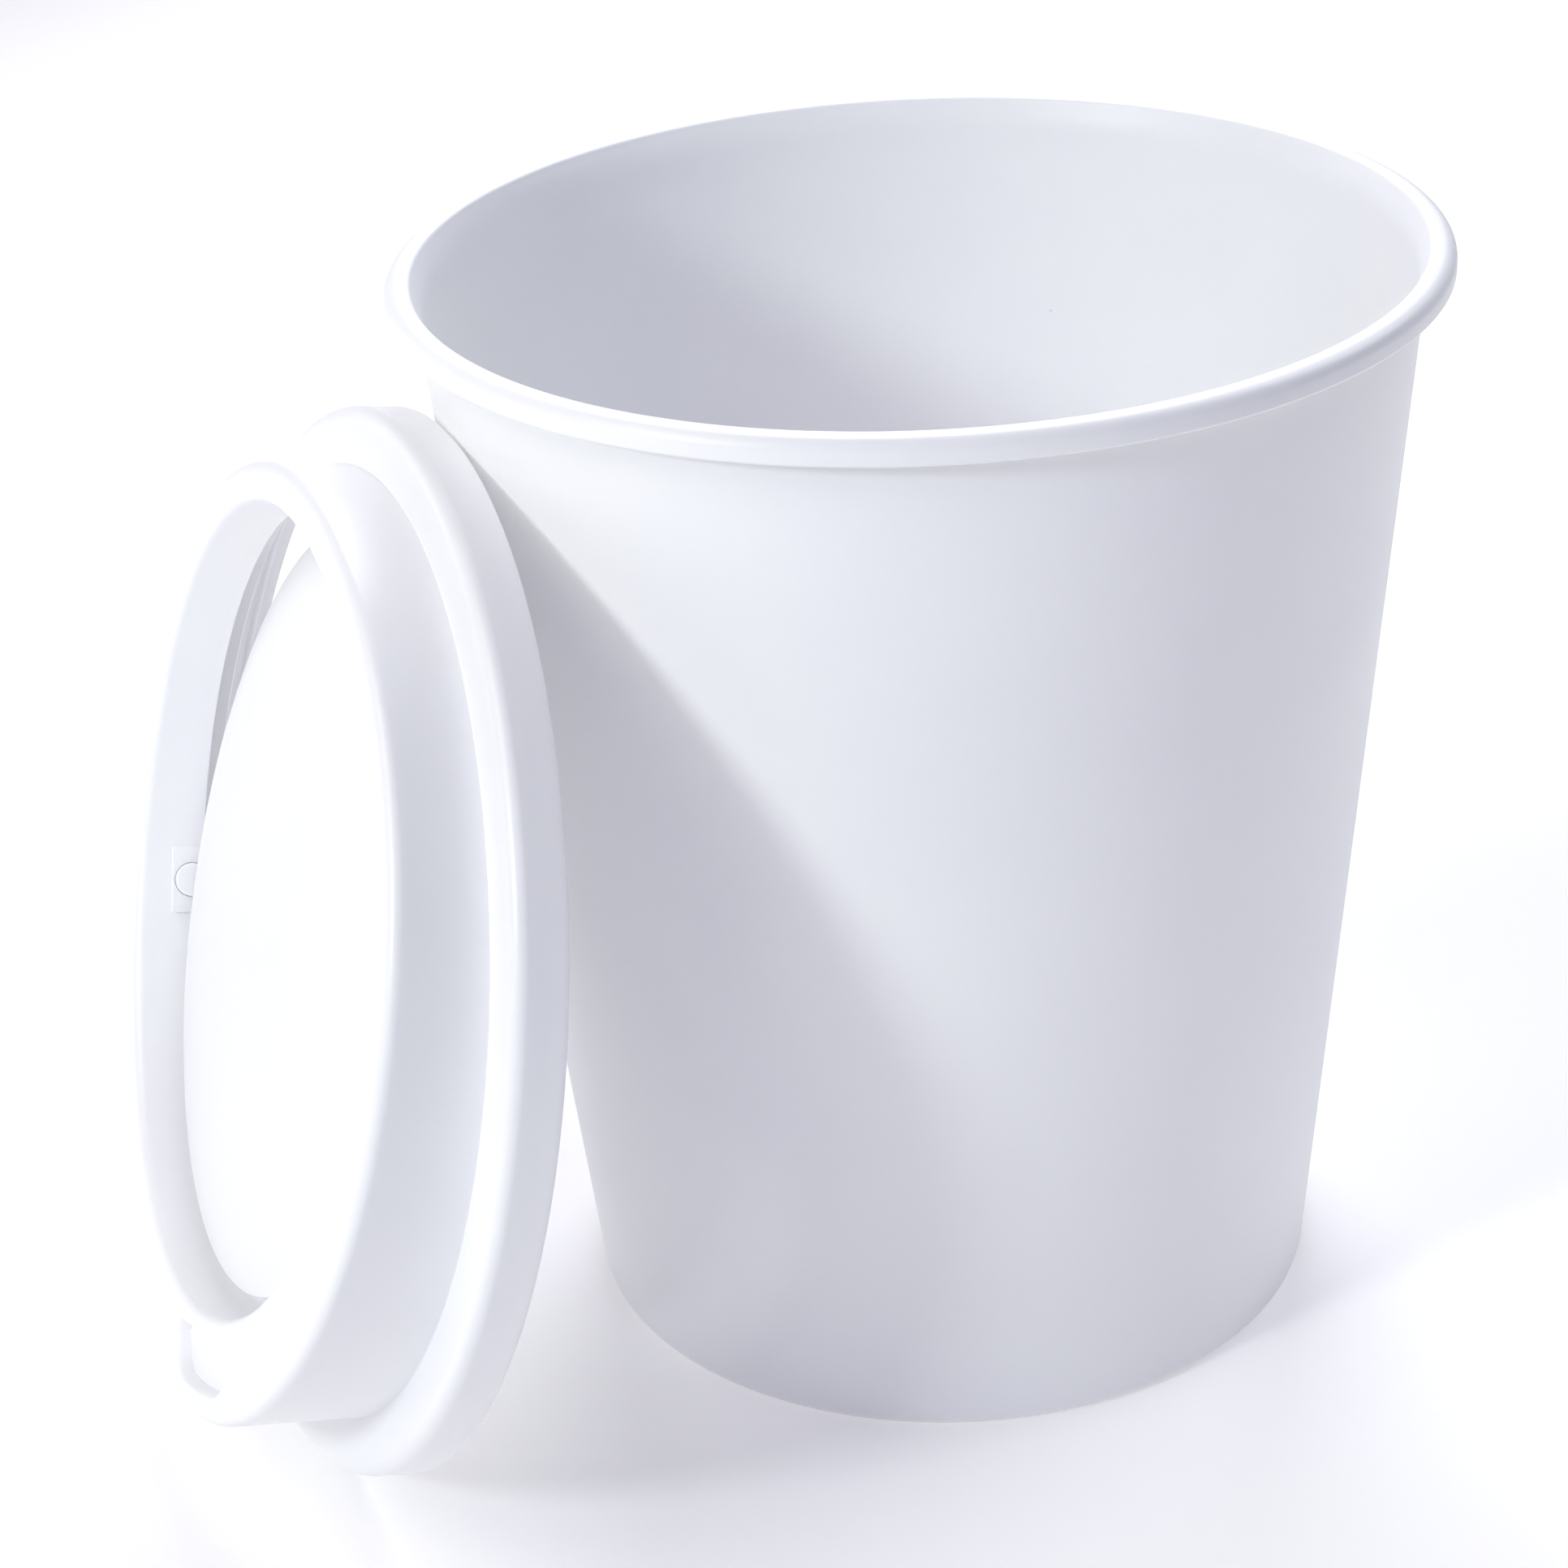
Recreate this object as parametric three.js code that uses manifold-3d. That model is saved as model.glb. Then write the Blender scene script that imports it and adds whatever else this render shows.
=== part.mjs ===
// A small swing-lid bin in the shape of a takeaway coffee cup, with its lid taken off and leaning against
// the side of the bin. All lengths are millimetres and +Z is up. The origin is the middle of the bin's
// base, and the lid leans on the -X side.
//
// Pieces: the bin body, the lid shell, the round swing flap in the lid's opening, and two pivot pins that
// are keyed into the flap's edge and turn in bearing holes in the lid's inner tube.

import * as THREE from 'three';
import { mergeVertices } from 'three/addons/utils/BufferGeometryUtils.js';
import Module from 'manifold-3d';

const wasm = await Module();
wasm.setup();

// ---------------------------------------------------------------- driving dimensions

const roundSteps = 72; // straight facets round a full circle of the large mouldings
const gap = 0.3; // clearance between pieces that fit together

// bin body
const binHeight = 271.7;
const binWall = 1.8;
const baseRadius = 93.2;
const baseFillet = 2.5;
const wallTopRadius = 118.5; // outer wall just under the bead
const beadRadius = 125;
const beadHeight = 6.1;
const beadSkin = 1.7;
const lipRadius = 118.6; // inner lip of the rim
const lipFlareDepth = 9; // how far the lip's flare runs down the inside
const lipCorner = 1.2; // rounding between the rim's top and its inside
const floorThickness = 2.2;
const floorCorner = 4; // fillet between floor and wall inside
const footGrooveIn = 78; // shallow groove that sets the flat centre apart from the foot ring
const footGrooveOut = 85;
const footGrooveDepth = 0.8;

// lid shell
const lidWall = 1.5;
const skirtLipRadius = 126.8;
const skirtRadius = 126.6;
const skirtHeight = 12.5;
const skirtFillet = 3.6;
const snapBeadRise = 0.5;
const snapBeadAt = 3.6;
const collarRadius = 112.8;
const collarHeight = 24.9; // mean height of the collar above the flange
const collarFoot = 0.3;
const collarEdge = 3;
const topTilt = 5.8; // the top rises by this much from the axis to the collar on the sip side
const topSaddle = 2.27; // and is bent by this much, high at the sip and opposite it
const openingRadius = 95.8;
const openingShift = -7.6; // the opening sits off centre, away from the sip recess
const openingFillet = 2.6;
const tubeEndRadius = 95.2;
const tubeEndHeight = 18.2; // above the lip plane

// sip recess in the top, on the wide side of the rim
const sipOuterRadius = 105.8; // its outer wall runs round the lid's axis
const sipInnerEdge = 93; // its inner wall is straight, at this distance from that axis
const sipShift = 2.8; // it sits off centre along the hinge
const sipHalfWidth = 21.2;
const sipCorner = 4.5;
const sipDepth = 3;

// swing flap
const flapRadius = 92;
const flapEarRise = 0.5;
const flapEarHalfAngle = 27 * Math.PI / 180;
const flapThickness = 1.5;
const flapFrontDrop = 0.3; // the front face lies this much below the hinge axis
const flapRimOut = 91.2;
const flapRimIn = 89.6;
const flapRimDepth = 5;
const lugWidth = 14;
const lugLength = 7;
const lugDepth = 5.2;
const lugInset = 0.3; // from the flap's edge

// hinge
const hingeHeight = 21.6; // above the lip plane
const pinRadius = 4.35;
const pinChamfer = 0.35;
const pinTipChamfer = 1;
const pinFace = flapRadius + flapEarRise + gap; // inner face of the round part, level with the flap's edge
const pinEnd = 100.6;
const pinKeyLength = 5.4;
const bearingPadWidth = 17;
const bearingPadTop = 26.6;
const bearingPadFace = 94.2;
const bearingBossRadius = 7.4;
const bearingBossEnd = 99.6;

// how the lid leans and how the flap hangs in it
const leanAngle = 13.3 * Math.PI / 180; // the lid's plane, back from upright
const lidYaw = 0.54 * Math.PI / 180; // turn of the leaning lid round the upright
const lidShift = -2.2; // the lid stands this far along Y from the bin's middle
const lidRoll = -158.9 * Math.PI / 180; // turn of the sip side round the lid's own axis, from straight up
const flapTilt = 7.4 * Math.PI / 180; // the flap's sip side stands out of the lid by this angle
const leanGap = 0.3; // lid lip to bin wall
const standGap = 0.1; // lid lip to the surface under the bin

// ---------------------------------------------------------------- helpers

function plastic(colour, roughness) {
  return new THREE.MeshStandardMaterial({ color: colour, roughness, metalness: 0 });
}

// points of an arc from angle a0 to a1 in degrees, both ends included
function arc(cx, cy, radius, a0, a1, steps) {
  const points = [];
  for (let i = 0; i <= steps; i++) {
    const a = (a0 + (a1 - a0) * i / steps) * Math.PI / 180;
    points.push([cx + radius * Math.cos(a), cy + radius * Math.sin(a)]);
  }
  return points;
}

// turns a profile of [radius, height] round the Z axis
function turned(profile, steps = roundSteps) {
  const points = profile.map(([r, z]) => new THREE.Vector2(r, z));
  return new THREE.LatheGeometry(points, steps).rotateX(Math.PI / 2);
}

// a closed geometry as a solid that can be joined and cut
function solid(geometry) {
  const bare = geometry.clone();
  for (const name of Object.keys(bare.attributes)) {
    if (name !== 'position') bare.deleteAttribute(name);
  }
  const merged = mergeVertices(bare, 1e-4);
  const corners = [];
  for (let i = 0; i < merged.index.count; i += 3) {
    const [a, b, c] = [0, 1, 2].map((k) => merged.index.getX(i + k));
    if (a !== b && b !== c && c !== a) corners.push(a, b, c);
  }
  return new wasm.Manifold(new wasm.Mesh({
    numProp: 3,
    vertProperties: new Float32Array(merged.attributes.position.array),
    triVerts: new Uint32Array(corners),
  }));
}

function geometryOf(body) {
  const mesh = body.getMesh();
  const geometry = new THREE.BufferGeometry();
  geometry.setAttribute('position', new THREE.BufferAttribute(new Float32Array(mesh.vertProperties), 3));
  geometry.setIndex(new THREE.BufferAttribute(new Uint32Array(mesh.triVerts), 1));
  geometry.computeVertexNormals();
  return geometry;
}

function block(x0, x1, y0, y1, z0, z1) {
  const box = new THREE.BoxGeometry(x1 - x0, y1 - y0, z1 - z0);
  return solid(box.translate((x0 + x1) / 2, (y0 + y1) / 2, (z0 + z1) / 2));
}

// a round bar along +Y from y0 to y1
function barAlongY(radius, y0, y1, z = 0, x = 0, steps = 40) {
  const bar = new THREE.CylinderGeometry(radius, radius, y1 - y0, steps);
  return solid(bar.translate(x, (y0 + y1) / 2, z));
}

// the same solid at the other end of the hinge
function halfTurn(body) {
  return body.rotate([0, 0, 180]);
}

function named(name, geometry, material) {
  const mesh = new THREE.Mesh(geometry, material);
  mesh.name = name;
  return mesh;
}

// ---------------------------------------------------------------- bin body

function binBody() {
  const beadBottom = binHeight - beadHeight;
  const beadCorner = beadHeight / 2;
  const wallSlope = (wallTopRadius - baseRadius) / beadBottom;
  const wallAt = (z) => baseRadius + wallSlope * z;
  const innerAt = (z) => wallAt(z) - binWall;
  const flareStart = binHeight - lipFlareDepth;
  const cornerTop = floorThickness + floorCorner;
  const flareBend = 0.35; // share of the flare that is left half way down
  const shoulder = 1; // slope between the wall and the underside of the bead

  const outside = [
    [0, 0],
    [footGrooveIn, 0],
    [footGrooveIn + footGrooveDepth, footGrooveDepth],
    [footGrooveOut - footGrooveDepth, footGrooveDepth],
    [footGrooveOut, 0],
    ...arc(baseRadius - baseFillet, baseFillet, baseFillet, -90, 0, 3),
    [wallAt(binHeight - beadSkin - shoulder), binHeight - beadSkin - shoulder],
    [wallAt(binHeight) + shoulder, binHeight - beadSkin],
  ];
  const beadInside = arc(beadRadius - beadCorner, binHeight - beadCorner, beadCorner - beadSkin, 90, 0, 3);
  const beadTip = arc(beadRadius - beadSkin / 2, beadBottom + beadSkin / 2, beadSkin / 2, 180, 360, 4);
  const beadOver = arc(beadRadius - beadCorner, binHeight - beadCorner, beadCorner, 0, 90, 6);
  const inside = [
    ...arc(lipRadius + lipCorner, binHeight - lipCorner, lipCorner, 90, 180, 3),
    [lipRadius - (lipRadius - innerAt(flareStart)) * (1 - flareBend), flareStart + lipFlareDepth / 2],
    [innerAt(flareStart), flareStart],
    ...arc(innerAt(cornerTop) - floorCorner, cornerTop, floorCorner, 0, -90, 3),
    [0, floorThickness],
  ];
  const profile = [...outside, ...beadInside, ...beadTip, ...beadOver, ...inside];
  return named('bin_body', turned(profile), plastic(0xf1f2f6, 0.42));
}

// ---------------------------------------------------------------- lid shell

// height of the slanted, slightly saddle-shaped top above its mean plane
function topRise(x, y) {
  const u = x / collarRadius;
  const v = y / collarRadius;
  return topTilt * u + topSaddle * (u * u - v * v);
}

// The lid's section, once round: [radius, height, share of the top's rise, share of the opening's shift].
function lidSection() {
  const top = skirtHeight + collarHeight;
  const under = top - lidWall;
  const filletCentre = skirtRadius - skirtFillet;
  const inLip = skirtLipRadius - lidWall + 0.1;
  const low = ([r, z]) => [r, z, 0, 0];
  const high = ([r, z]) => [r, z, 1, 0];
  const mouth = ([r, z]) => [r, z, 1, 1];
  return [
    ...[[skirtLipRadius - 0.3, 0], [skirtLipRadius, 0.4]].map(low),
    ...arc(filletCentre, skirtHeight - skirtFillet, skirtFillet, 0, 90, 5).map(low),
    ...arc(collarRadius + collarFoot, skirtHeight + collarFoot, collarFoot, 270, 180, 2).map(low),
    ...arc(collarRadius - collarEdge, top - collarEdge, collarEdge, 0, 90, 3).map(high),
    ...arc(openingRadius + openingFillet, top - openingFillet, openingFillet, 90, 180, 3).map(mouth),
    [tubeEndRadius, tubeEndHeight, 0, 1],
    [tubeEndRadius + lidWall, tubeEndHeight, 0, 1],
    [openingRadius + lidWall, under, 1, 1],
    [collarRadius - lidWall, under, 1, 0],
    ...[[collarRadius - lidWall, skirtHeight - lidWall]].map(low),
    ...arc(filletCentre, skirtHeight - skirtFillet, skirtFillet - lidWall, 90, 0, 4).map(low),
    ...[[inLip + 0.3, snapBeadAt + 1], [inLip - snapBeadRise, snapBeadAt], [inLip, snapBeadAt - 1.2]].map(low),
    ...[[inLip, 0.4], [inLip + 0.3, 0], [skirtLipRadius - 0.3, 0]].map(low),
  ];
}

function lidTurned() {
  const section = lidSection();
  const geometry = turned(section);
  const position = geometry.attributes.position;
  for (let i = 0; i < position.count; i++) {
    const [, , riseShare, shiftShare] = section[i % section.length];
    const x = position.getX(i) + openingShift * shiftShare;
    const y = position.getY(i);
    position.setXYZ(i, x, y, position.getZ(i) + riseShare * topRise(x, y));
  }
  return solid(geometry);
}

// The sip recess seen along the lid's axis, grown by `grow` all round: a straight inner edge, two sides along
// X and an outer edge that runs round the lid, with rounded outer corners.
function sipOutline(grow) {
  const reach = sipOuterRadius - sipCorner;
  const corner = sipCorner + grow;
  const ends = [-1, 1].map((side) => {
    const y = sipShift + side * (sipHalfWidth - sipCorner);
    const x = Math.sqrt(reach * reach - y * y);
    return { x, y, turn: Math.atan2(y, x) * 180 / Math.PI };
  });
  const [low, high] = ends;
  return [
    [sipInnerEdge - grow, low.y - corner],
    ...arc(low.x, low.y, corner, -90, low.turn, 4),
    ...arc(0, 0, sipOuterRadius + grow, low.turn, high.turn, 8).slice(1, -1),
    ...arc(high.x, high.y, corner, high.turn, 90, 4),
    [sipInnerEdge - grow, high.y + corner],
  ];
}

// A block in the sip recess's place under the lid's top, grown by `grow` all round. Its floor follows the top's
// surface, lower by sipDepth plus `grow`; its roof lies `roof` above the surface.
function sipBlock(grow, roof) {
  const top = skirtHeight + collarHeight;
  const shape = new THREE.Shape(sipOutline(grow).map(([x, y]) => new THREE.Vector2(x, y)));
  const geometry = new THREE.ExtrudeGeometry(shape, { depth: 1, bevelEnabled: false });
  const position = geometry.attributes.position;
  for (let i = 0; i < position.count; i++) {
    const x = position.getX(i);
    const y = position.getY(i);
    const surface = top + topRise(x, y);
    position.setZ(i, position.getZ(i) > 0.5 ? surface + roof : surface - sipDepth - grow);
  }
  return solid(geometry);
}

// bearing for one pivot pin, at the +Y end: a flat pad inside the tube and a round boss behind its wall
function bearing() {
  const wallMiddle = tubeEndRadius + lidWall / 2;
  const half = bearingPadWidth / 2;
  const pad = block(openingShift - half, openingShift + half, bearingPadFace, wallMiddle,
    tubeEndHeight, bearingPadTop);
  const boss = barAlongY(bearingBossRadius, wallMiddle, bearingBossEnd, hingeHeight, openingShift);
  const bossTrim = block(openingShift - 20, openingShift + 20, 80, 110, 0, tubeEndHeight);
  return pad.add(boss.subtract(bossTrim));
}

function mirrored(body) {
  return body.mirror([0, 1, 0]);
}

function lidShell() {
  const hole = barAlongY(pinRadius + gap, 85, 105, hingeHeight, openingShift);
  const shell = lidTurned()
    .add(sipBlock(lidWall, -lidWall / 2))
    .subtract(sipBlock(0, 5))
    .add(bearing())
    .add(mirrored(bearing()))
    .subtract(hole)
    .subtract(mirrored(hole));
  return named('lid_shell', geometryOf(shell), plastic(0xf4f5f8, 0.42));
}

// ---------------------------------------------------------------- swing flap
// Its own frame: the hinge axis is Y, the front faces +Z, and the sip side is +X.

const flapFront = -flapFrontDrop;
const flapBack = flapFront - flapThickness;

function flapEar() {
  const from = 90 - flapEarHalfAngle * 180 / Math.PI;
  const outline = [
    ...arc(0, 0, flapRadius + flapEarRise, from, 180 - from, 14),
    ...arc(0, 0, flapRadius - 2, 180 - from, from, 14),
  ];
  const shape = new THREE.Shape(outline.map(([x, y]) => new THREE.Vector2(x, y)));
  const ear = new THREE.ExtrudeGeometry(shape, { depth: flapThickness, bevelEnabled: false });
  return solid(ear.translate(0, 0, flapBack));
}

function flapLug() {
  const outer = flapRadius - lugInset;
  const overlap = 0.5; // into the plate, so that the two join
  return block(-lugWidth / 2, lugWidth / 2, outer - lugLength, outer, flapBack - lugDepth, flapBack + overlap);
}

// room for the pin's key, open towards the edge
function keySocket() {
  const bar = barAlongY(pinRadius + gap, pinFace - pinKeyLength - gap, pinFace + 5);
  const below = block(-10, 10, 80, 110, -20, flapBack);
  return bar.intersect(below);
}

function swingFlap() {
  const rimBottom = flapBack - flapRimDepth;
  const disc = solid(turned([
    [0, flapBack],
    [flapRimIn, flapBack],
    [flapRimIn, rimBottom],
    [flapRimOut, rimBottom],
    [flapRimOut, flapBack],
    [flapRadius, flapBack],
    [flapRadius, flapFront - 0.4],
    [flapRadius - 0.4, flapFront],
    [0, flapFront],
  ]));
  const flap = disc
    .add(flapEar())
    .add(halfTurn(flapEar()))
    .add(flapLug())
    .add(halfTurn(flapLug()))
    .subtract(keySocket())
    .subtract(halfTurn(keySocket()));
  return named('swing_flap', geometryOf(flap), plastic(0xf6f7fa, 0.4));
}

// ---------------------------------------------------------------- pivot pins
// A pin at the +Y end of the hinge: a round journal in the lid's bearing, with a half-round key under the
// flap's plate that stops it turning in the flap.

function pivotPin() {
  const section = [
    [0, pinFace],
    [pinRadius - pinChamfer, pinFace],
    [pinRadius, pinFace + pinChamfer],
    [pinRadius, pinEnd - pinTipChamfer],
    [pinRadius - pinTipChamfer, pinEnd],
    [0, pinEnd],
  ];
  const points = section.map(([r, y]) => new THREE.Vector2(r, y));
  const journal = solid(new THREE.LatheGeometry(points, 32));
  const keyBar = barAlongY(pinRadius, pinFace - pinKeyLength, pinFace + 1, 0, 0, 32);
  const key = keyBar.intersect(block(-10, 10, 80, 110, -20, flapBack - gap));
  return journal.add(key);
}

function pivotPins() {
  const material = plastic(0xf4f5f8, 0.42);
  return [
    named('pivot_pin_right', geometryOf(pivotPin()), material),
    named('pivot_pin_left', geometryOf(halfTurn(pivotPin())), material.clone()),
  ];
}

// ---------------------------------------------------------------- assembly

const flapPlace = new THREE.Group();
flapPlace.position.set(openingShift, 0, hingeHeight);
flapPlace.rotation.y = -flapTilt;
flapPlace.add(swingFlap(), ...pivotPins());

const lidTurn = new THREE.Group();
lidTurn.rotation.z = lidRoll;
lidTurn.add(lidShell(), flapPlace);

// The lid stands on its lip, and the top of the lip touches the bin's tapered wall.
const contactHeight = 2 * skirtLipRadius * Math.cos(leanAngle) + standGap;
const wallSlope = (wallTopRadius - baseRadius) / (binHeight - beadHeight);
const wallAtContact = baseRadius + wallSlope * contactHeight;
const lidPlace = new THREE.Group();
lidPlace.position.set(
  -(wallAtContact + leanGap + skirtLipRadius * Math.sin(leanAngle)),
  lidShift,
  skirtLipRadius * Math.cos(leanAngle) + standGap,
);
lidPlace.rotation.set(0, -(Math.PI / 2 - leanAngle), lidYaw, 'ZYX');
lidPlace.add(lidTurn);

const bin = new THREE.Group();
bin.add(binBody(), lidPlace);

export default bin;
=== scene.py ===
"""Looks for the swing-lid bin: a white polypropylene bin like a takeaway cup, its lid leaning on its side.

Every length is in metres and every place is in the row frame: the origin is the middle of the bin's base,
+Z is up, and the lid leans on the -X side.
"""

import math

import bpy
import bmesh
from mathutils import Matrix, Vector


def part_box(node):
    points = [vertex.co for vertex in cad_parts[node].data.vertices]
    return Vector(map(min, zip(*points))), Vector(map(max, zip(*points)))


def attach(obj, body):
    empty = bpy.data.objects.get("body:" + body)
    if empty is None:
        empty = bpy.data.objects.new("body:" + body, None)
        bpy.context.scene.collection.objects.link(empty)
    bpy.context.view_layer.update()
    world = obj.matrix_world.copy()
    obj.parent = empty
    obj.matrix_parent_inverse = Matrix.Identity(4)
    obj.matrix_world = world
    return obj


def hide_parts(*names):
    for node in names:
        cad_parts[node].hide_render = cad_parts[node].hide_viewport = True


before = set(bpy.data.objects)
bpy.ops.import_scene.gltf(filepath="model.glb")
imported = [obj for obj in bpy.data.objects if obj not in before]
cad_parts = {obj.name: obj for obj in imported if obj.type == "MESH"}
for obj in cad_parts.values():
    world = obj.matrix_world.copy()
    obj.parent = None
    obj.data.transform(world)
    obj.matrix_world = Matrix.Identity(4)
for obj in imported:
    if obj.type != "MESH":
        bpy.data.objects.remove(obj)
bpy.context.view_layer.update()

MM = 0.001
TURN = 2 * math.pi

# ---------------------------------------------------------------- driving dimensions, as in the CAD
BIN_LOW, BIN_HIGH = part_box("bin_body")
BIN_HEIGHT = BIN_HIGH[2]
BEAD_RADIUS = BIN_HIGH[0]
BIN_WALL = 1.8 * MM
BASE_RADIUS = 93.2 * MM
BASE_FILLET = 2.5 * MM
WALL_TOP_RADIUS = 118.5 * MM
BEAD_HEIGHT = 6.1 * MM
BEAD_SKIN = 1.7 * MM
LIP_RADIUS = 118.6 * MM
LIP_FLARE = 9 * MM
FLOOR_THICKNESS = 2.2 * MM
WALL_SLOPE = (WALL_TOP_RADIUS - BASE_RADIUS) / (BIN_HEIGHT - BEAD_HEIGHT)

LID_WALL = 1.5 * MM
SKIRT_LIP_RADIUS = 126.8 * MM
SKIRT_RADIUS = 126.6 * MM
SKIRT_HEIGHT = 12.5 * MM
SKIRT_FILLET = 3.6 * MM
COLLAR_RADIUS = 112.8 * MM
COLLAR_HEIGHT = 24.9 * MM
COLLAR_FOOT = 0.3 * MM
COLLAR_EDGE = 3 * MM
TOP_TILT = 5.8 * MM
TOP_SADDLE = 2.27 * MM
OPENING_RADIUS = 95.8 * MM
OPENING_SHIFT = -7.6 * MM
OPENING_FILLET = 2.6 * MM
TUBE_END_RADIUS = 95.2 * MM
TUBE_END_HEIGHT = 18.2 * MM
# the sip recess: its outer wall runs round the lid's axis, its inner wall is straight and across X
SIP_OUTER = 105.2 * MM
SIP_INNER = 93.4 * MM
SIP_SHIFT = 2.8 * MM
SIP_HALF_WIDTH = 20.6 * MM
SIP_CORNER = 8.5 * MM
SIP_DEPTH = 3 * MM
SIP_ROUND = 1.3 * MM

# each bearing: a flat pad inside the tube and a round boss behind its wall
PAD_HALF_WIDTH = 8.5 * MM
PAD_FACE = 94.2 * MM
PAD_BACK = 96 * MM
PAD_TOP = 5 * MM
BOSS_RADIUS = 7.4 * MM
BOSS_END = 99.6 * MM

FLAP_RADIUS = 92 * MM
FLAP_EAR_RISE = 0.5 * MM
FLAP_EAR_HALF_ANGLE = math.radians(27)
FLAP_THICKNESS = 1.5 * MM
FLAP_FRONT = -0.3 * MM
FLAP_RIM_OUT = 91.2 * MM
FLAP_RIM_IN = 89.6 * MM
FLAP_RIM_DEPTH = 5 * MM
LUG_HALF_WIDTH = 7 * MM
LUG_LENGTH = 7 * MM
LUG_DEPTH = 5.2 * MM

HINGE_HEIGHT = 21.6 * MM
PIN_RADIUS = 4.35 * MM
PIN_END = 100.6 * MM
PIN_KEY_LENGTH = 5.4 * MM
PIN_TIP = 1 * MM
GAP = 0.3 * MM
PIN_FACE = FLAP_RADIUS + FLAP_EAR_RISE + GAP

LEAN = math.radians(13.3)
LID_YAW = math.radians(0.54)
LID_SHIFT = -2.2 * MM
LID_ROLL = math.radians(-158.9)
FLAP_TILT = math.radians(7.4)

# ---------------------------------------------------------------- places


def lid_place():
    """Matrix from the lid's own frame (X to the sip side, Y along the hinge, Z out of its face)."""
    stand_gap, lean_gap = 0.1 * MM, 0.3 * MM
    contact = 2 * SKIRT_LIP_RADIUS * math.cos(LEAN) + stand_gap
    x = -(BASE_RADIUS + WALL_SLOPE * contact + lean_gap + SKIRT_LIP_RADIUS * math.sin(LEAN))
    z = SKIRT_LIP_RADIUS * math.cos(LEAN) + stand_gap
    lean = Matrix.Rotation(LID_YAW, 4, "Z") @ Matrix.Rotation(-(math.pi / 2 - LEAN), 4, "Y")
    return Matrix.Translation((x, LID_SHIFT, z)) @ lean @ Matrix.Rotation(LID_ROLL, 4, "Z")


LID = lid_place()
FLAP = LID @ Matrix.Translation((OPENING_SHIFT, 0, HINGE_HEIGHT)) @ Matrix.Rotation(-FLAP_TILT, 4, "Y")

# ---------------------------------------------------------------- mesh helpers


def arc(cx, cz, radius, a0, a1, steps):
    """Points of an arc from angle a0 to a1 in degrees, both ends included."""
    points = []
    for i in range(steps + 1):
        a = math.radians(a0 + (a1 - a0) * i / steps)
        points.append((cx + radius * math.cos(a), cz + radius * math.sin(a)))
    return points


def line(p, q, steps):
    """Points from p to q, without p, so that long straight stretches have rings of their own."""
    return [tuple(a + (b - a) * (i + 1) / steps for a, b in zip(p, q)) for i in range(steps)]


def smooth_step(low, high, value):
    t = min(max((value - low) / (high - low), 0), 1)
    return t * t * (3 - 2 * t)


def even_angles(count):
    return [TURN * i / count for i in range(count)]


def revolve(section, angles, warp=None, closed=False):
    """Mesh data of a section turned round Z. warp(point, index, angle) may move each point.
    An open section starts and ends on the axis; a closed one joins its last point to its first."""
    vertices, faces, rings = [], [], []
    for j, point in enumerate(section):
        on_axis = not closed and j in (0, len(section) - 1)
        ring = []
        for i, angle in enumerate(angles):
            if on_axis and i > 0:
                ring.append(ring[0])
                continue
            place = Vector((point[0] * math.cos(angle), point[0] * math.sin(angle), point[1]))
            if warp:
                place = warp(place, j, angle)
            ring.append(len(vertices))
            vertices.append(place)
        rings.append(ring)
    following = rings[1:] + ([rings[0]] if closed else [])
    for low, high in zip(rings, following):
        for i in range(len(angles)):
            k = (i + 1) % len(angles)
            corners = [low[i], low[k], high[k], high[i]]
            face = [c for n, c in enumerate(corners) if c != corners[n - 1]]
            if len(face) > 2:
                faces.append(face)
    return vertices, faces


def make_object(name, vertices, faces, place=None):
    mesh = bpy.data.meshes.new(name)
    mesh.from_pydata([place @ v if place else v for v in vertices], [], faces)
    mesh.validate()
    obj = bpy.data.objects.new(name, mesh)
    bpy.context.scene.collection.objects.link(obj)
    return obj


def along_y(section):
    """Mesh data of a section of (radius, y) points turned round Y."""
    vertices, faces = revolve(section, even_angles(96))
    return [Vector((v.x, v.z, -v.y)) for v in vertices], faces


def bar_along_y(radius, y0, y1):
    """Mesh data of a round bar round Y, between y0 and y1."""
    return along_y([(0, y0), (radius, y0), (radius, y1), (0, y1)])


def block(x0, x1, y0, y1, z0, z1):
    corners = [Vector((x, y, z)) for x in (x0, x1) for y in (y0, y1) for z in (z0, z1)]
    faces = [(0, 1, 3, 2), (4, 6, 7, 5), (0, 4, 5, 1), (2, 3, 7, 6), (0, 2, 6, 4), (1, 5, 7, 3)]
    return corners, faces


def keep_result(obj, modifier):
    """Puts the modifier's result in the mesh and takes the modifier off."""
    depsgraph = bpy.context.evaluated_depsgraph_get()
    mesh = bpy.data.meshes.new_from_object(obj.evaluated_get(depsgraph))
    obj.modifiers.remove(modifier)
    old = obj.data
    obj.data = mesh
    bpy.data.meshes.remove(old)


def boolean(obj, operation, other):
    """Joins, cuts or intersects obj with other, which goes away."""
    modifier = obj.modifiers.new("cut", "BOOLEAN")
    modifier.operation = operation
    modifier.solver = "MANIFOLD"
    modifier.object = other
    keep_result(obj, modifier)
    bpy.data.objects.remove(other)


def bevel(obj, width, segments=3, angle=40):
    """Rounds the sharp edges."""
    modifier = obj.modifiers.new("round", "BEVEL")
    modifier.width = width
    modifier.segments = segments
    modifier.limit_method = "ANGLE"
    modifier.angle_limit = math.radians(angle)
    keep_result(obj, modifier)


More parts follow.
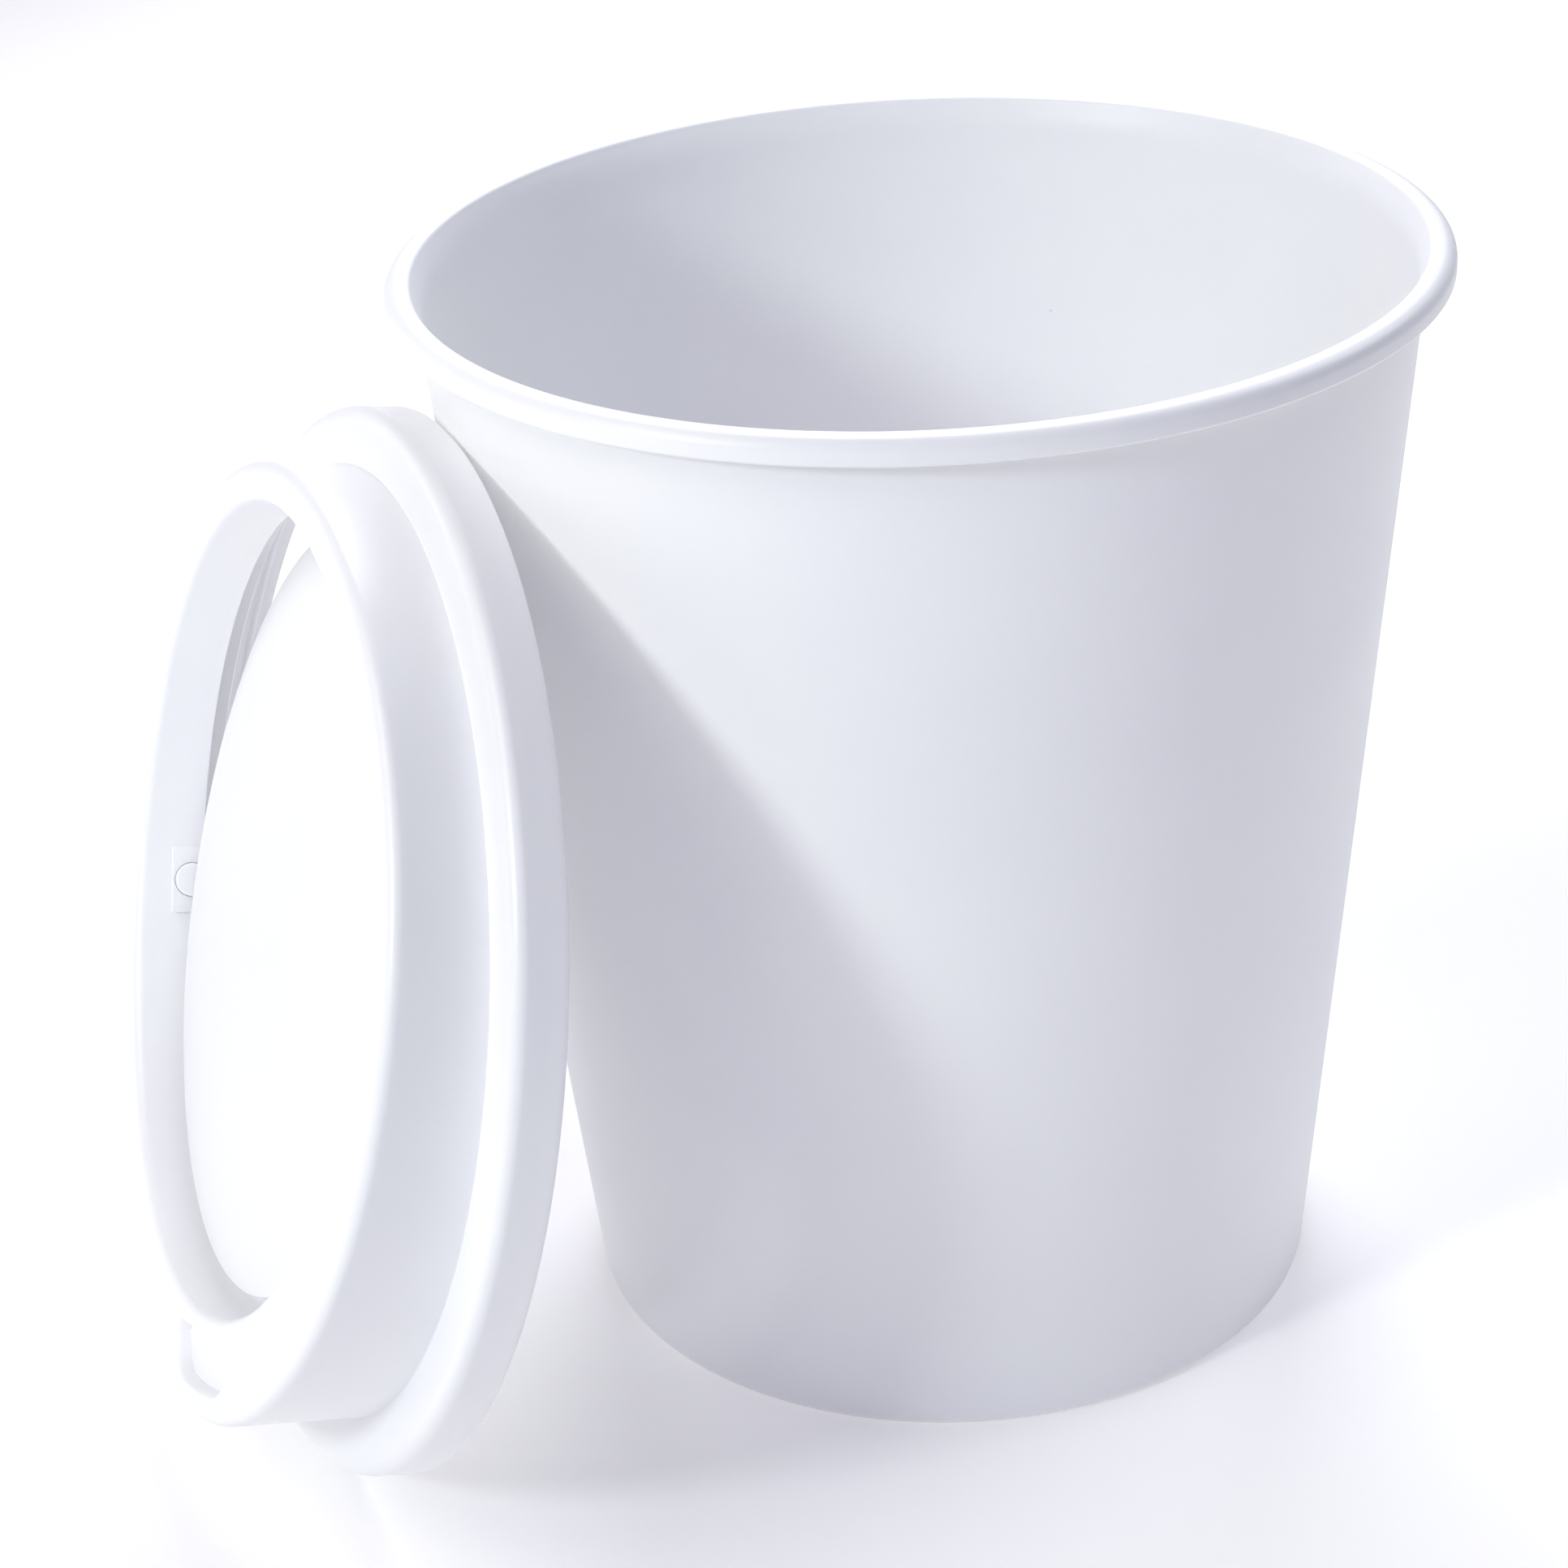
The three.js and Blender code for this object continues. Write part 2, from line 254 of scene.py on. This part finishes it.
def shade(obj, angle=35):
    """Smooth shading, with edges sharper than the angle left crisp and normals facing out."""
    b = bmesh.new()
    b.from_mesh(obj.data)
    bmesh.ops.remove_doubles(b, verts=b.verts, dist=1e-7)
    bmesh.ops.recalc_face_normals(b, faces=b.faces)
    b.to_mesh(obj.data)
    b.free()
    for polygon in obj.data.polygons:
        polygon.use_smooth = True
    obj.data.set_sharp_from_angle(angle=math.radians(angle))


def finish_piece(obj, body, nodes, material):
    shade(obj)
    obj.data.materials.clear()
    obj.data.materials.append(material)
    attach(obj, body)
    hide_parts(*nodes)


# ---------------------------------------------------------------- material


def polypropylene(name, colour, roughness=0.4):
    """White moulded polypropylene: faint cloudiness, a fine spark-eroded grain, soft flow ripples, a few
    specks and hairline scratches, and convex edges polished smoother by handling and lightened in colour
    as a painted highlight."""
    material = bpy.data.materials.new(name)
    material.use_nodes = True
    tree = material.node_tree
    nodes, links = tree.nodes, tree.links
    shader = nodes["Principled BSDF"]
    shader.inputs["IOR"].default_value = 1.49
    shader.inputs["Specular IOR Level"].default_value = 0.5
    shader.inputs["Subsurface Weight"].default_value = 0.12
    shader.inputs["Subsurface Radius"].default_value = (1.0, 1.0, 1.1)
    shader.inputs["Subsurface Scale"].default_value = 2.5 * MM

    place = nodes.new("ShaderNodeTexCoord").outputs["Object"]

    def noise(scale, detail=3, rough=0.5, vector=place):
        node = nodes.new("ShaderNodeTexNoise")
        node.inputs["Scale"].default_value = scale
        node.inputs["Detail"].default_value = detail
        node.inputs["Roughness"].default_value = rough
        links.new(vector, node.inputs["Vector"])
        return node.outputs["Fac"]

    def span(value, low, high, to_low, to_high):
        node = nodes.new("ShaderNodeMapRange")
        for key, number in zip(("From Min", "From Max", "To Min", "To Max"), (low, high, to_low, to_high)):
            node.inputs[key].default_value = number
        links.new(value, node.inputs["Value"])
        return node.outputs["Result"]

    def math_node(operation, a, b):
        node = nodes.new("ShaderNodeMath")
        node.operation = operation
        for socket, value in zip(node.inputs, (a, b)):
            if isinstance(value, (int, float)):
                socket.default_value = value
            else:
                links.new(value, socket)
        return node.outputs["Value"]

    def mix(factor, a, b):
        node = nodes.new("ShaderNodeMix")
        node.data_type = "RGBA"
        links.new(factor, node.inputs["Factor"])
        for key, value in (("A", a), ("B", b)):
            socket = next(s for s in node.inputs if s.name == key and s.type == "RGBA")
            if isinstance(value, tuple):
                socket.default_value = (*value, 1)
            else:
                links.new(value, socket)
        return next(s for s in node.outputs if s.type == "RGBA")

    # colour: cloudiness, then specks, then a painted highlight that lightens the convex edges
    clouds = noise(14, 4)
    shadow_tint = tuple(c * f for c, f in zip(colour, (0.972, 0.972, 0.985)))
    base = mix(span(clouds, 0.35, 0.65, 0, 1), shadow_tint, colour)
    cells = nodes.new("ShaderNodeTexVoronoi")
    cells.inputs["Scale"].default_value = 95
    links.new(place, cells.inputs["Vector"])
    rare = math_node("GREATER_THAN", cells.outputs["Color"], 0.93)
    speck = math_node("MULTIPLY", span(cells.outputs["Distance"], 0.03, 0.045, 1, 0), rare)
    speck_colour = tuple(c * 0.72 for c in colour)
    base = mix(math_node("MULTIPLY", speck, 0.6), base, speck_colour)
    geometry = nodes.new("ShaderNodeNewGeometry")
    # mask of convex edges: it lowers the roughness below, and it lightens the colour here as a painted
    # highlight
    edge_polish_and_highlight_mask = span(geometry.outputs["Pointiness"], 0.505, 0.53, 0, 1)
    painted_edge_highlight_colour = tuple(min(1, c * 1.02) for c in colour)
    # painted highlight: convex edges made lighter in colour
    base = mix(math_node("MULTIPLY", edge_polish_and_highlight_mask, 0.5), base, painted_edge_highlight_colour)
    links.new(base, shader.inputs["Base Color"])

    # roughness: patches rubbed smoother, edges more so
    patches = span(noise(22, 3), 0.3, 0.7, roughness - 0.04, roughness + 0.05)
    polished = math_node("SUBTRACT", patches, math_node("MULTIPLY", edge_polish_and_highlight_mask, 0.06))
    links.new(math_node("ADD", polished, math_node("MULTIPLY", speck, 0.1)), shader.inputs["Roughness"])

    # height: grain, soft ripples and hairline scratches
    stretch = nodes.new("ShaderNodeMapping")
    stretch.inputs["Rotation"].default_value = (0.4, 0.9, 0.3)
    stretch.inputs["Scale"].default_value = (6, 260, 260)
    links.new(place, stretch.inputs["Vector"])
    hair = span(noise(1, 2, 0.5, stretch.outputs["Vector"]), 0.72, 0.76, 0, 1)
    ripples = nodes.new("ShaderNodeBump")
    ripples.inputs["Strength"].default_value = 0.25
    ripples.inputs["Distance"].default_value = 0.25 * MM
    links.new(noise(38, 2), ripples.inputs["Height"])
    grain = nodes.new("ShaderNodeBump")
    grain.inputs["Strength"].default_value = 0.12
    grain.inputs["Distance"].default_value = 0.03 * MM
    fine = math_node("SUBTRACT", noise(1700, 2, 0.6), math_node("MULTIPLY", hair, 0.5))
    links.new(fine, grain.inputs["Height"])
    links.new(ripples.outputs["Normal"], grain.inputs["Normal"])
    links.new(grain.outputs["Normal"], shader.inputs["Normal"])
    return material


# ---------------------------------------------------------------- bin


def bin_section():
    bead_bottom = BIN_HEIGHT - BEAD_HEIGHT
    bead_half = BEAD_HEIGHT / 2

    def wall(z):
        return BASE_RADIUS + WALL_SLOPE * z

    def inner(z):
        return wall(z) - BIN_WALL

    groove_in, groove_out, groove = 78 * MM, 85 * MM, 0.8 * MM
    gate = 4 * MM
    section = [(0, 0.35 * MM), (gate - 0.4 * MM, 0.35 * MM), (gate, 0)]
    section += line((gate, 0), (groove_in - 0.2 * MM, 0), 12)
    section += [(groove_in, 0.1 * MM), (groove_in + groove, groove)]
    section += line(section[-1], (groove_out - groove, groove), 3)
    section += [(groove_out - 0.1 * MM, 0.1 * MM), (groove_out + 0.1 * MM, 0)]
    section += arc(BASE_RADIUS - BASE_FILLET, BASE_FILLET, BASE_FILLET, -90, 0, 10)
    wall_end = BIN_HEIGHT - 5 * MM
    section += line(section[-1], (wall(wall_end), wall_end), 40)
    root = 0.9 * MM
    section += arc(wall(BIN_HEIGHT) + root, BIN_HEIGHT - BEAD_SKIN - root, root, 180, 90, 5)
    section += arc(BEAD_RADIUS - bead_half, BIN_HEIGHT - bead_half, bead_half - BEAD_SKIN, 90, 0, 7)
    tip = BEAD_SKIN / 2
    section += arc(BEAD_RADIUS - tip, bead_bottom + tip, tip, 180, 360, 10)
    section += arc(BEAD_RADIUS - bead_half, BIN_HEIGHT - bead_half, bead_half, 0, 90, 16)
    lip = 1.2 * MM
    section += arc(LIP_RADIUS + lip, BIN_HEIGHT - lip, lip, 90, 170, 7)
    flare_end = BIN_HEIGHT - LIP_FLARE
    lip_r, lip_z = section[-1]
    flare_width = inner(flare_end) - lip_r
    for i in range(1, 11):
        t = i / 10
        section.append((lip_r + flare_width * (2 * t - t * t), lip_z + (flare_end - lip_z) * t))
    corner = 4 * MM
    section += line(section[-1], (inner(8 * MM), 8 * MM), 40)
    section += arc(inner(6 * MM) - corner, FLOOR_THICKNESS + corner, corner, 0, -90, 9)
    section += line(section[-1], (5 * MM, FLOOR_THICKNESS), 14)
    section += [(0, FLOOR_THICKNESS)]
    return section


def bin_warp(place, index, angle):
    """The moulding isn't perfectly round: its wall wanders by a few tenths of a millimetre at the rim."""
    radius = math.hypot(place.x, place.y)
    share = max(place.z, 0) / BIN_HEIGHT
    wander = 0.12 * math.sin(2 * angle + 0.4) + 0.06 * math.sin(3 * angle + 2) + 0.03 * math.sin(7 * angle)
    scale = 1 + (wander - 0.12) * MM * share / max(radius, 0.05)
    return Vector((place.x * scale, place.y * scale, place.z))


def build_bin(material):
    vertices, faces = revolve(bin_section(), even_angles(400), bin_warp)
    obj = make_object("bin_cup", vertices, faces)
    finish_piece(obj, "bin", ["bin_body"], material)


# ---------------------------------------------------------------- lid


def top_rise(x, y):
    u, v = x / COLLAR_RADIUS, y / COLLAR_RADIUS
    return TOP_TILT * u + TOP_SADDLE * (u * u - v * v)


def sip_drop(x, y, grow):
    """Depth of the sip recess at a place on the top; grow widens it for the underside."""
    past_arc = math.hypot(x, y) - SIP_OUTER + SIP_CORNER
    past_side = abs(y - SIP_SHIFT) - SIP_HALF_WIDTH + SIP_CORNER
    outside = math.hypot(max(past_arc, 0), max(past_side, 0)) - SIP_CORNER
    outside = max(outside, SIP_INNER - x) - grow
    return SIP_DEPTH * (1 - min(max(outside / SIP_ROUND, 0), 1)) ** 2  # a crisp foot and a rounded top


def lid_section():
    """The lid's section, once round: (radius, height, share of the rise, share of the shift, recess)."""
    top = SKIRT_HEIGHT + COLLAR_HEIGHT
    under = top - LID_WALL
    fillet = SKIRT_RADIUS - SKIRT_FILLET
    in_lip = SKIRT_LIP_RADIUS - LID_WALL + 0.1 * MM
    collar_in = COLLAR_RADIUS - LID_WALL

    def low(points):
        return [(r, z, 0, 0, 0) for r, z in points]

    def high(points, shift=0, recess=0):
        return [(r, z, 1, shift, recess) for r, z in points]

    section = low(arc(SKIRT_LIP_RADIUS - 0.35 * MM, 0.35 * MM, 0.35 * MM, -90, 0, 4))
    section += low(line((SKIRT_LIP_RADIUS, 0.35 * MM), (SKIRT_RADIUS, 4.9 * MM), 4))
    section += low(arc(fillet, SKIRT_HEIGHT - SKIRT_FILLET, SKIRT_FILLET, 1, 90, 22))
    foot = COLLAR_RADIUS + COLLAR_FOOT
    section += low(line((fillet, SKIRT_HEIGHT), (foot, SKIRT_HEIGHT), 3))
    section += low(arc(foot, SKIRT_HEIGHT + COLLAR_FOOT, COLLAR_FOOT, 265, 180, 6))
    start = (COLLAR_RADIUS, SKIRT_HEIGHT + COLLAR_FOOT, 0, 0, 0)
    section += line(start, (COLLAR_RADIUS, top - COLLAR_EDGE, 1, 0, 0), 8)
    section += high(arc(COLLAR_RADIUS - COLLAR_EDGE, top - COLLAR_EDGE, COLLAR_EDGE, 9, 90, 8))
    edge = (COLLAR_RADIUS - COLLAR_EDGE, top, 1, 0, 1)
    mouth = (OPENING_RADIUS + OPENING_FILLET, top, 1, 1, 1)
    section += line(edge, mouth, 60)
    mouth_edge = arc(OPENING_RADIUS + OPENING_FILLET, top - OPENING_FILLET, OPENING_FILLET, 98, 180, 8)
    section += high(mouth_edge, 1)
    start = section[-1]
    section += line(start, (TUBE_END_RADIUS, TUBE_END_HEIGHT + 0.3 * MM, 0, 1, 0), 8)
    tube_out = TUBE_END_RADIUS + LID_WALL
    section += [(TUBE_END_RADIUS + 0.3 * MM, TUBE_END_HEIGHT, 0, 1, 0)]
    section += [(tube_out - 0.3 * MM, TUBE_END_HEIGHT, 0, 1, 0)]
    section += [(tube_out, TUBE_END_HEIGHT + 0.3 * MM, 0, 1, 0)]
    section += line(section[-1], (OPENING_RADIUS + LID_WALL, under - 0.4 * MM, 1, 1, 0), 8)
    tube_top = (OPENING_RADIUS + LID_WALL + 0.4 * MM, under, 1, 1, 2)
    section += line(tube_top, (collar_in - 0.4 * MM, under, 1, 0, 2), 24)
    section += [(collar_in, under - 0.4 * MM, 1, 0, 0)]
    section += line(section[-1], (collar_in, SKIRT_HEIGHT - LID_WALL + 0.3 * MM, 0, 0, 0), 6)
    section += low([(collar_in + 0.3 * MM, SKIRT_HEIGHT - LID_WALL)])
    section += low(arc(fillet, SKIRT_HEIGHT - SKIRT_FILLET, SKIRT_FILLET - LID_WALL, 90, 0, 12))
    snap = 3.6 * MM
    section += low([(in_lip + 0.3 * MM, snap + 1 * MM)])
    section += low(arc(in_lip + 0.3 * MM, snap, 0.8 * MM, 110, 250, 8))
    section += low([(in_lip, snap - 1.6 * MM), (in_lip, 0.4 * MM)])
    section += low([(in_lip + 0.1 * MM, 0.1 * MM), (in_lip + 0.35 * MM, 0)])
    return section


def lid_angles():
    """Even steps round the lid, and finer ones across the sip recess."""
    coarse, fine, margin = math.radians(0.9), math.radians(0.15), 4 * MM
    low = math.asin((SIP_SHIFT - SIP_HALF_WIDTH - margin) / SIP_INNER)
    high = math.asin((SIP_SHIFT + SIP_HALF_WIDTH + margin) / SIP_INNER)
    across, rest = high - low, TURN - high + low
    near, far = round(across / fine), round(rest / coarse)
    return [low + across * i / near for i in range(near)] + [high + rest * i / far for i in range(far)]


def build_lid(material):
    section = lid_section()

    def warp(place, index, angle):
        _, _, rise, shift, recess = section[index]
        x, y = place.x + OPENING_SHIFT * shift, place.y
        z = place.z + rise * top_rise(x, y)
        if recess:
            z -= sip_drop(x, y, LID_WALL if recess > 1 else 0)
        return Vector((x, y, z))

    vertices, faces = revolve(section, lid_angles(), warp, closed=True)
    obj = make_object("lid_moulding", vertices, faces, LID)
    for side in (0, math.pi):
        turn = LID @ Matrix.Translation((OPENING_SHIFT, 0, HINGE_HEIGHT)) @ Matrix.Rotation(side, 4, "Z")
        foot = TUBE_END_HEIGHT - HINGE_HEIGHT
        pad = block(-PAD_HALF_WIDTH, PAD_HALF_WIDTH, PAD_FACE, PAD_BACK, foot, PAD_TOP)
        boolean(obj, "UNION", make_object("pad", *pad, turn))
        boss = make_object("boss", *bar_along_y(BOSS_RADIUS, PAD_BACK, BOSS_END), turn)
        below = block(-20 * MM, 20 * MM, 80 * MM, 110 * MM, -30 * MM, foot)
        boolean(boss, "DIFFERENCE", make_object("below", *below, turn))
        boolean(obj, "UNION", boss)
        hole = bar_along_y(PIN_RADIUS + GAP / 2, 85 * MM, 105 * MM)
        boolean(obj, "DIFFERENCE", make_object("hole", *hole, turn))
    finish_piece(obj, "lid", ["lid_shell"], material)


# ---------------------------------------------------------------- flap and pins


def flap_section():
    back = FLAP_FRONT - FLAP_THICKNESS
    rim = back - FLAP_RIM_DEPTH
    section = [(0, back)]
    section += line((0, back), (FLAP_RIM_IN - 0.8 * MM, back), 16)
    section += [(FLAP_RIM_IN - 0.2 * MM, back - 0.2 * MM), (FLAP_RIM_IN, back - 0.8 * MM)]
    section += line(section[-1], (FLAP_RIM_IN, rim + 0.3 * MM), 3)
    section += arc(FLAP_RIM_IN + 0.4 * MM, rim + 0.4 * MM, 0.4 * MM, 180, 270, 3)
    section += arc(FLAP_RIM_OUT - 0.4 * MM, rim + 0.4 * MM, 0.4 * MM, 270, 360, 3)
    section += line(section[-1], (FLAP_RIM_OUT, back - 0.2 * MM), 3)
    section += [(FLAP_RIM_OUT + 0.2 * MM, back)]
    section += [(FLAP_RADIUS - 0.2 * MM, back), (FLAP_RADIUS, back + 0.2 * MM)]
    section += arc(FLAP_RADIUS - 0.35 * MM, FLAP_FRONT - 0.35 * MM, 0.35 * MM, 0, 90, 5)
    section += line(section[-1], (4 * MM, FLAP_FRONT), 22)
    section += [(0, FLAP_FRONT)]
    return section


def under_flap(top):
    """A box round a pin, below a height in the flap's frame."""
    return block(-10 * MM, 10 * MM, 80 * MM, 110 * MM, -20 * MM, top)


def build_flap(material):
    def warp(place, index, angle):
        radius = math.hypot(place.x, place.y)
        from_hinge = abs(abs(angle - math.pi) - math.pi / 2)
        ear = 1 - smooth_step(FLAP_EAR_HALF_ANGLE - 0.004, FLAP_EAR_HALF_ANGLE + 0.004, from_hinge)
        reach = max(radius - FLAP_RIM_OUT - 0.3 * MM, 0) / (FLAP_RADIUS - FLAP_RIM_OUT - 0.3 * MM)
        scale = 1 + FLAP_EAR_RISE * ear * min(reach, 1) / max(radius, 0.001)
        return Vector((place.x * scale, place.y * scale, place.z))

    vertices, faces = revolve(flap_section(), even_angles(720), warp)
    obj = make_object("flap_disc", vertices, faces, FLAP)
    back = FLAP_FRONT - FLAP_THICKNESS
    lug_outer = FLAP_RADIUS - 0.3 * MM
    for side in (0, math.pi):
        turn = FLAP @ Matrix.Rotation(side, 4, "Z")
        across, along = (-LUG_HALF_WIDTH, LUG_HALF_WIDTH), (lug_outer - LUG_LENGTH, lug_outer)
        lug_box = block(*across, *along, back - LUG_DEPTH, back + 0.5 * MM)
        lug = make_object("lug", *lug_box, turn)
        bevel(lug, 0.5 * MM)
        boolean(obj, "UNION", lug)
        socket_bar = bar_along_y(PIN_RADIUS + GAP / 2, PIN_FACE - PIN_KEY_LENGTH - GAP, PIN_FACE + 5 * MM)
        socket = make_object("socket", *socket_bar, turn)
        boolean(socket, "INTERSECT", make_object("below", *under_flap(back), turn))
        boolean(obj, "DIFFERENCE", socket)
    finish_piece(obj, "flap", ["swing_flap"], material)


def build_pins(material):
    back = FLAP_FRONT - FLAP_THICKNESS
    soft = 0.35 * MM
    dished_face = ((0, 0.25 * MM), (1.5 * MM, 0.22 * MM), (3 * MM, 0.05 * MM))
    section = [(radius, PIN_FACE + dish) for radius, dish in dished_face]
    section += arc(PIN_RADIUS - soft, PIN_FACE + soft, soft, 270, 360, 6)
    section += line(section[-1], (PIN_RADIUS, PIN_END - PIN_TIP), 4)
    section += arc(PIN_RADIUS - PIN_TIP, PIN_END - PIN_TIP, PIN_TIP, 10, 90, 6)
    section += [(0, PIN_END)]
    for name, side in (("pivot_pin_right", 0), ("pivot_pin_left", math.pi)):
        turn = FLAP @ Matrix.Rotation(side, 4, "Z")
        pin = make_object(name + "_turned", *along_y(section), turn)
        key_bar = bar_along_y(PIN_RADIUS - 0.02 * MM, PIN_FACE - PIN_KEY_LENGTH, PIN_FACE + 1 * MM)
        key = make_object("key", *key_bar, turn)
        boolean(key, "INTERSECT", make_object("below", *under_flap(back - GAP), turn))
        boolean(pin, "UNION", key)
        finish_piece(pin, "flap", [name], material)


# ---------------------------------------------------------------- camera, lights and floor
# The camera stands in front of the bin, turned so that the lid is on its left.

CAMERA_AZIMUTH = math.radians(-112.81)
CAMERA_DISTANCE = 0.8093
CAMERA_HEIGHT = 0.5422
CAMERA_PAN = math.radians(-2.70)
CAMERA_PITCH = math.radians(26.91)
CAMERA_ROLL = math.radians(-3.29)
CAMERA_LENS = 82.69
SENSOR = 36

KEY_AZIMUTH = math.radians(199.2)
KEY_ELEVATION = math.radians(27.3)
KEY_DISTANCE = 1.6
KEY_SIZE = 0.26
KEY_POWER = 7.2
KEY_COLOUR = (0.94, 1.0, 1.0)

# soft boxes round the object: name, degrees round from the camera, elevation, power, colour
SOFT_DISTANCE = 1.6
SOFT_SIZE = 0.9
LIT_HEIGHT = 0.13  # every light faces this height on the bin's axis
SOFT_LIGHTS = (
    ("over_camera", 0, 48, 3, (0.6, 0.6, 1.0)),
    ("behind_right", 120, 48, 5.5, (0.90, 0.94, 1.0)),
    ("behind_low", 180, 10, 2.2, (0.98, 0.9, 1.0)),
    ("behind_high", 180, 48, 14.4, (0.94, 0.95, 1.0)),
    ("far_left", 240, 10, 2.2, (0.85, 0.8, 1.0)),
    ("near_left", 300, 48, 7, (1.0, 0.95, 0.85)),
)

STUDIO_COLOUR = (0.84, 0.87, 1.0)
STUDIO_WALL_LIGHT = 0.5
STUDIO_CEILING_LIGHT = 0.15
STUDIO_FADE = (0.1, 0.3)  # the sines of the elevations where the wall's light starts and ends to fade

FLOOR_HALF_SIZE = 30
FLOOR_HEIGHT = -0.05 * MM
FLOOR_COLOUR = (0.86, 0.86, 0.87)
FLOOR_GLOW_COLOUR = (1, 0.97, 0.95)
FLOOR_GLOW = 0.24


def add_camera():
    data = bpy.data.cameras.new("camera")
    data.sensor_width = SENSOR
    data.lens = CAMERA_LENS
    data.clip_start, data.clip_end = 0.01, 50
    camera = bpy.data.objects.new("camera", data)
    bpy.context.scene.collection.objects.link(camera)
    heading = CAMERA_AZIMUTH + math.pi - CAMERA_PAN
    level = Vector((math.cos(heading), math.sin(heading), 0))
    forward = level * math.cos(CAMERA_PITCH) + Vector((0, 0, -math.sin(CAMERA_PITCH)))
    right = Vector((level.y, -level.x, 0))
    up = right.cross(forward)
    c, s = math.cos(CAMERA_ROLL), math.sin(CAMERA_ROLL)
    rolled_right, rolled_up = right * c + up * s, up * c - right * s
    place = Matrix((rolled_right, rolled_up, -forward)).transposed().to_4x4()
    place.translation = (
        CAMERA_DISTANCE * math.cos(CAMERA_AZIMUTH),
        CAMERA_DISTANCE * math.sin(CAMERA_AZIMUTH),
        CAMERA_HEIGHT,
    )
    camera.matrix_world = place
    bpy.context.scene.camera = camera


def add_area_light(name, azimuth, elevation, distance, size, power, colour):
    """A round soft box that faces the middle of the bin."""
    data = bpy.data.lights.new(name, "AREA")
    data.shape = "DISK"
    data.size = size
    data.energy = power
    data.color = colour
    light = bpy.data.objects.new(name, data)
    bpy.context.scene.collection.objects.link(light)
    level = Vector((math.cos(azimuth), math.sin(azimuth), 0)) * math.cos(elevation)
    direction = level + Vector((0, 0, math.sin(elevation)))
    light.location = Vector((0, 0, LIT_HEIGHT)) + direction * distance
    light.rotation_mode = "QUATERNION"
    light.rotation_quaternion = direction.to_track_quat("Z", "Y")


def add_world():
    """A studio with a pale wall all round, which fades into a dim ceiling."""
    world = bpy.data.worlds.new("studio")
    world.use_nodes = True
    nodes, links = world.node_tree.nodes, world.node_tree.links
    background = nodes["Background"]
    background.inputs["Color"].default_value = (*STUDIO_COLOUR, 1)
    split = nodes.new("ShaderNodeSeparateXYZ")
    links.new(nodes.new("ShaderNodeTexCoord").outputs["Generated"], split.inputs[0])
    fade = nodes.new("ShaderNodeMapRange")
    fade.inputs["From Min"].default_value, fade.inputs["From Max"].default_value = STUDIO_FADE
    fade.inputs["To Min"].default_value = STUDIO_WALL_LIGHT
    fade.inputs["To Max"].default_value = STUDIO_CEILING_LIGHT
    links.new(split.outputs["Z"], fade.inputs["Value"])
    links.new(fade.outputs["Result"], background.inputs["Strength"])
    bpy.context.scene.world = world


def add_floor():
    material = bpy.data.materials.new("floor_white")
    material.use_nodes = True
    shader = material.node_tree.nodes["Principled BSDF"]
    shader.inputs["Base Color"].default_value = (*FLOOR_COLOUR, 1)
    shader.inputs["Roughness"].default_value = 0.9
    shader.inputs["Emission Color"].default_value = (*FLOOR_GLOW_COLOUR, 1)
    shader.inputs["Emission Strength"].default_value = FLOOR_GLOW
    signs = ((-1, -1), (1, -1), (1, 1), (-1, 1))
    corners = [Vector((x * FLOOR_HALF_SIZE, y * FLOOR_HALF_SIZE, FLOOR_HEIGHT)) for x, y in signs]
    floor = make_object("floor", corners, [(0, 1, 2, 3)])
    floor.data.materials.append(material)


# ---------------------------------------------------------------- assembly

add_camera()
add_area_light("key", KEY_AZIMUTH, KEY_ELEVATION, KEY_DISTANCE, KEY_SIZE, KEY_POWER, KEY_COLOUR)
for name, turn, elevation, power, colour in SOFT_LIGHTS:
    azimuth = CAMERA_AZIMUTH + math.radians(turn)
    add_area_light(name, azimuth, math.radians(elevation), SOFT_DISTANCE, SOFT_SIZE, power, colour)
add_world()
add_floor()

WHITE = (0.94, 0.943, 0.95)
build_bin(polypropylene("bin_polypropylene", WHITE, 0.4))
build_lid(polypropylene("lid_polypropylene", WHITE, 0.38))
build_flap(polypropylene("flap_polypropylene", WHITE, 0.38))
build_pins(polypropylene("pin_polypropylene", WHITE, 0.38))

view = bpy.context.scene.view_settings
view.view_transform = "Standard"
